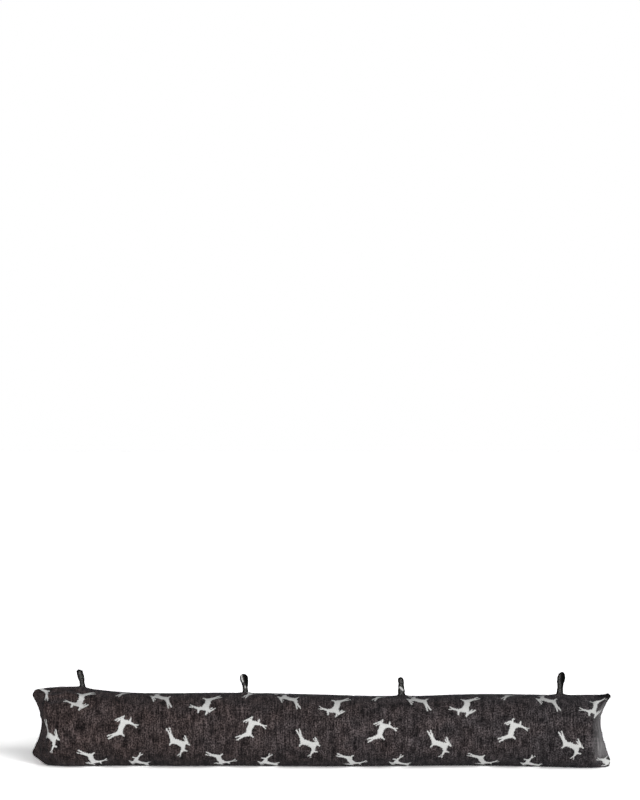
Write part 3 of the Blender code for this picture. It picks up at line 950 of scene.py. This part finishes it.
WEAVE_RELIEF, SPECK_RELIEF, HARE_RELIEF = 0.5, 1.4, 0.5
TWEED_FEEL = {
    "Roughness": 0.96,
    "Sheen Weight": 0.035,
    "Sheen Roughness": 0.45,
    "Sheen Tint": (0.86, 0.9, 1.0, 1.0),
}


def painted_end_sheen(nodes, place):
    """Where a painted sheen, a highlight, lightens the cloth: a wedge on the lower half of the right
    end's front, which grows towards the end seam as a power of the way from its edge."""
    beyond = nodes.share(nodes.towards(place, 1.0, PAINTED_SHEEN_SLANT), *PAINTED_SHEEN_EDGE)
    beyond = nodes.math("POWER", beyond, PAINTED_SHEEN_POWER)
    down = nodes.towards(place, 0.0, 1.0)
    within = nodes.times(nodes.share(down, *PAINTED_SHEEN_TOP), nodes.share(down, *PAINTED_SHEEN_FOOT))
    return nodes.times(beyond, nodes.times(within, PAINTED_SHEEN_SHARE))


def painted_ear_shadow(nodes, place):
    """Where a painted shadow darkens the cloth: the right upper ear, down to a slant."""
    beyond = nodes.share(nodes.towards(place, 1.0, EAR_SLANT), *EAR_EDGE)
    above = nodes.share(nodes.towards(place, 0.0, 1.0), *EAR_FOOT)
    return nodes.times(nodes.times(beyond, above), EAR_SHADOW_SHARE)


def dark_yarns(nodes, place, speck, streak, mottle):
    """Charcoal yarns of uneven shade, tinted along the tube and darker and lighter in patches."""
    shade = nodes.times(streak, STREAK_SHARE, nodes.times(mottle, MOTTLE_SHARE))
    shade = nodes.times(speck, SPECK_SHARE, shade)
    yarn = nodes.shades(nodes.math("SUBTRACT", shade, SHADE_BASE), YARN_SHADES)
    tint = nodes.noise(place, *TINT_NOISE)
    tint = nodes.times(nodes.towards(place, 1.0, 0.0), TINT_DRIFT, tint)
    yarn = nodes.mix(1.0, yarn, nodes.shades(tint, TINTS), way="MULTIPLY")
    patch = nodes.noise(place, *PATCH_NOISE)
    return nodes.mix(1.0, yarn, nodes.shades(patch, PATCHES), way="MULTIPLY")


def inside_hares(nodes, place, mottle):
    """1 inside the hares and 0 outside, in whole steps of the weave, with a frayed outline."""
    distance = hare_distance(nodes, nodes.vector("SNAP", place, (YARN_STEP, YARN_STEP, 1.0)))
    frayed = nodes.times(nodes.math("SUBTRACT", mottle, NOISE_MEAN), FRAYING, distance)
    return nodes.times(frayed, -OUTLINE_SHARPNESS, 0.5, clamp=True)


def charcoal_tweed():
    """The tube's cloth: charcoal yarns of uneven shade that run up and down, and off-white hares."""
    material = bpy.data.materials.new("charcoal_tweed_with_hares")
    nodes = Nodes(material)
    place, grain = cloth_place(nodes, "cloth"), cloth_place(nodes, "grain")
    speck = nodes.noise(grain, *SPECKS)
    streak = nodes.noise(grain, *STREAKS)
    mottle = nodes.noise(grain, *MOTTLES)
    low = nodes.share(nodes.towards(place, 0.0, 1.0), *LOW_CLOTH)

    dark = dark_yarns(nodes, place, speck, streak, mottle)
    # a painted sheen, a highlight, on the lower right end's front
    dark = nodes.mix(painted_end_sheen(nodes, place), dark, nodes.shades(streak, PAINTED_SHEEN_SHADES))
    # a painted shadow in the right upper ear
    dark = nodes.mix(painted_ear_shadow(nodes, place), dark, EAR_PAINTED_SHADOW)
    # low on the front the dark yarns get painted shade
    dark = nodes.mix(nodes.times(low, LOW_PAINTED_SHADE_SHARE), dark, LOW_PAINTED_SHADE)
    # and the hares there get painted light, as if from the floor, up to the right end
    away = nodes.share(nodes.towards(place, 1.0, 0.0), *LOW_PAINTED_LIGHT_END)
    pale = nodes.shades(mottle, HARE_SHADES)
    pale = nodes.mix(nodes.times(low, away), pale, LOW_PAINTED_LIGHT)
    inside = inside_hares(nodes, place, mottle)

    relief = nodes.times(weave(nodes, grain, pitch=0.9), WEAVE_RELIEF)
    relief = nodes.times(inside, HARE_RELIEF, nodes.times(speck, SPECK_RELIEF, relief))
    dress(nodes, nodes.mix(inside, dark, pale), relief, depth=0.0004, values=TWEED_FEEL)
    return material


# The straps: between which millimetres from the fold their flecks come out, how much of them shows at
# each, so that the fold is painted dark as shade, their shades, and how their scraps' outline is frayed
# and how sharp it is.
FLECK_REACH, FLECK_SHARES = (1.0, 5.0), (0.04, 0.30)
STRAP_SHADES = (
    (0.42, (0.0016, 0.0015, 0.0015)),
    (0.64, (0.0062, 0.0058, 0.0056)),
    (0.78, (0.0260, 0.0245, 0.0240)),
    (0.90, (0.1500, 0.1480, 0.1440)),
)
SCRAP_FRAYING, SCRAP_GROWN, SCRAP_SHARPNESS = 2.4, 1.3, 1.8
SCRAP_SHADE = (0.52, 0.52, 0.51, 1.0)
STRAP_RELIEF = 0.6


def outer_face(nodes, place):
    """1 along the middle of a strap's outer face, less towards its edges as 1 - off^2, 0 inside: painted
    shade.
    """
    half = STRAP_WIDTH * 500.0
    across = nodes.math("MODULO", nodes.towards(place, 1.0, 0.0), STRAP_PLACES * 1000.0)
    off = nodes.math("DIVIDE", nodes.math("SUBTRACT", across, half), half)
    return nodes.math("SUBTRACT", 1.0, nodes.times(off, off), clamp=True)


def inside_scraps(nodes, place, streak):
    """1 inside the scraps of the pattern and 0 outside, with a frayed outline."""
    grown = nodes.math("ADD", nearest_limb(nodes, place, SCRAPS), -SCRAP_GROWN)
    frayed = nodes.times(streak, SCRAP_FRAYING, grown)
    return nodes.times(frayed, -SCRAP_SHARPNESS, 0.5, clamp=True)


def strap_cloth():
    """The loops' cloth: the same tweed folded narrow. Painted shade makes it black inside and along its
    edges and dark at the fold; it is flecked along the middle of its outer face, and two loops have
    scraps of the hare pattern."""
    material = bpy.data.materials.new("folded_strap_cloth")
    nodes = Nodes(material)
    place = cloth_place(nodes, "cloth")
    streak = nodes.noise(place, *STRAP_NOISE)
    from_fold = nodes.math("ABSOLUTE", nodes.towards(place, 0.0, 1.0))
    # few flecks near the fold: painted shade at the loop's top
    flecks = nodes.share(from_fold, *FLECK_REACH, *FLECK_SHARES)
    # painted shade: black on the inner face and along the edges, dark at the fold
    shade = nodes.times(outer_face(nodes, place), flecks, streak)
    yarn = nodes.shades(shade, STRAP_SHADES)
    colour = nodes.mix(inside_scraps(nodes, place, streak), yarn, SCRAP_SHADE)

    relief = nodes.times(weave(nodes, place, pitch=0.8), STRAP_RELIEF)
    relief = nodes.times(streak, 1.0, relief)
    dress(nodes, colour, relief, depth=0.0003, values={"Roughness": 0.88})
    return material


# --- Studio ---

WHITE = (1.0, 1.0, 1.0, 1.0)


def pale_floor():
    """The floor's nodes. The camera sees it lit up to white, shaded only where the tube is near."""
    material = bpy.data.materials.new("pale_floor")
    nodes = Nodes(material)
    by_camera = nodes.node("ShaderNodeLightPath", {})
    plain = nodes.node("ShaderNodeBsdfDiffuse", {"Color": FLOOR_PLAIN})
    open_above = nodes.node("ShaderNodeAmbientOcclusion", {"Distance": CONTACT_REACH}, samples=8)
    shaded = nodes.times(nodes.math("POWER", open_above, CONTACT_POWER), FLOOR_GAIN)
    lit = nodes.node("ShaderNodeBsdfDiffuse", {"Color": shaded})
    glow = nodes.node("ShaderNodeEmission", {"Color": WHITE, "Strength": FLOOR_GLOW})
    white = nodes.node("ShaderNodeAddShader", {0: lit, 1: glow})
    surface = nodes.node("ShaderNodeMixShader", {0: by_camera, 1: plain, 2: white})
    nodes.feed(nodes.tree.nodes["Material Output"], {"Surface": surface})
    return material


def floor():
    """A plain pale floor, just under the tube."""
    mesh = bpy.data.meshes.new("studio_floor")
    side = FLOOR_SIZE / 2.0
    corners = [(x * side, y * side, FLOOR_LEVEL) for x, y in ((-1, -1), (1, -1), (1, 1), (-1, 1))]
    mesh.from_pydata(corners, [], [(0, 1, 2, 3)])
    mesh.materials.append(pale_floor())
    made = placed("studio_floor", mesh)


def lights():
    """The far lights, each so high up and so far round to the right."""
    for name, strength, height, side, breadth in LIGHTS:
        sun = bpy.data.lights.new(name, "SUN")
        sun.energy = strength
        sun.angle = math.radians(breadth)
        placed(name, sun).rotation_euler = (math.radians(90.0 - height), 0.0, math.radians(side))


def surroundings():
    """White for the camera, and a weak, even fill for all other rays."""
    world = bpy.data.worlds.new("white_studio")
    studio = Nodes(world)
    seen = studio.tree.nodes["Background"]
    studio.feed(seen, {"Color": WHITE, "Strength": 1.0})
    fill = studio.node("ShaderNodeBackground", {"Color": WHITE, "Strength": FILL})
    by_camera = studio.node("ShaderNodeLightPath", {})
    surface = studio.node("ShaderNodeMixShader", {0: by_camera, 1: fill, 2: seen.outputs[0]})
    studio.feed(studio.tree.nodes["World Output"], {"Surface": surface})
    bpy.context.scene.world = world
    bpy.context.scene.view_settings.view_transform = "Standard"


def camera():
    """A level camera that frames FRAMED_HEIGHT at the tube."""
    data = bpy.data.cameras.new("studio_camera")
    data.sensor_width = SENSOR
    data.lens = SENSOR / FRAMED_HEIGHT * -CAMERA_PLACE[1]
    made = placed("studio_camera", data)
    made.location = CAMERA_PLACE
    made.rotation_euler = (math.pi / 2.0, 0.0, 0.0)
    bpy.context.scene.camera = made


# --- Putting it together ---

camera()
surroundings()
lights()
floor()

tube = make_tube(charcoal_tweed())
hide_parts("tube")
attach(tube, "root")

strap = strap_cloth()
for number, loop in enumerate(LOOPS, start=1):
    made = make_loop(loop, strap, number)
    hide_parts(loop.name)
    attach(made, "root")
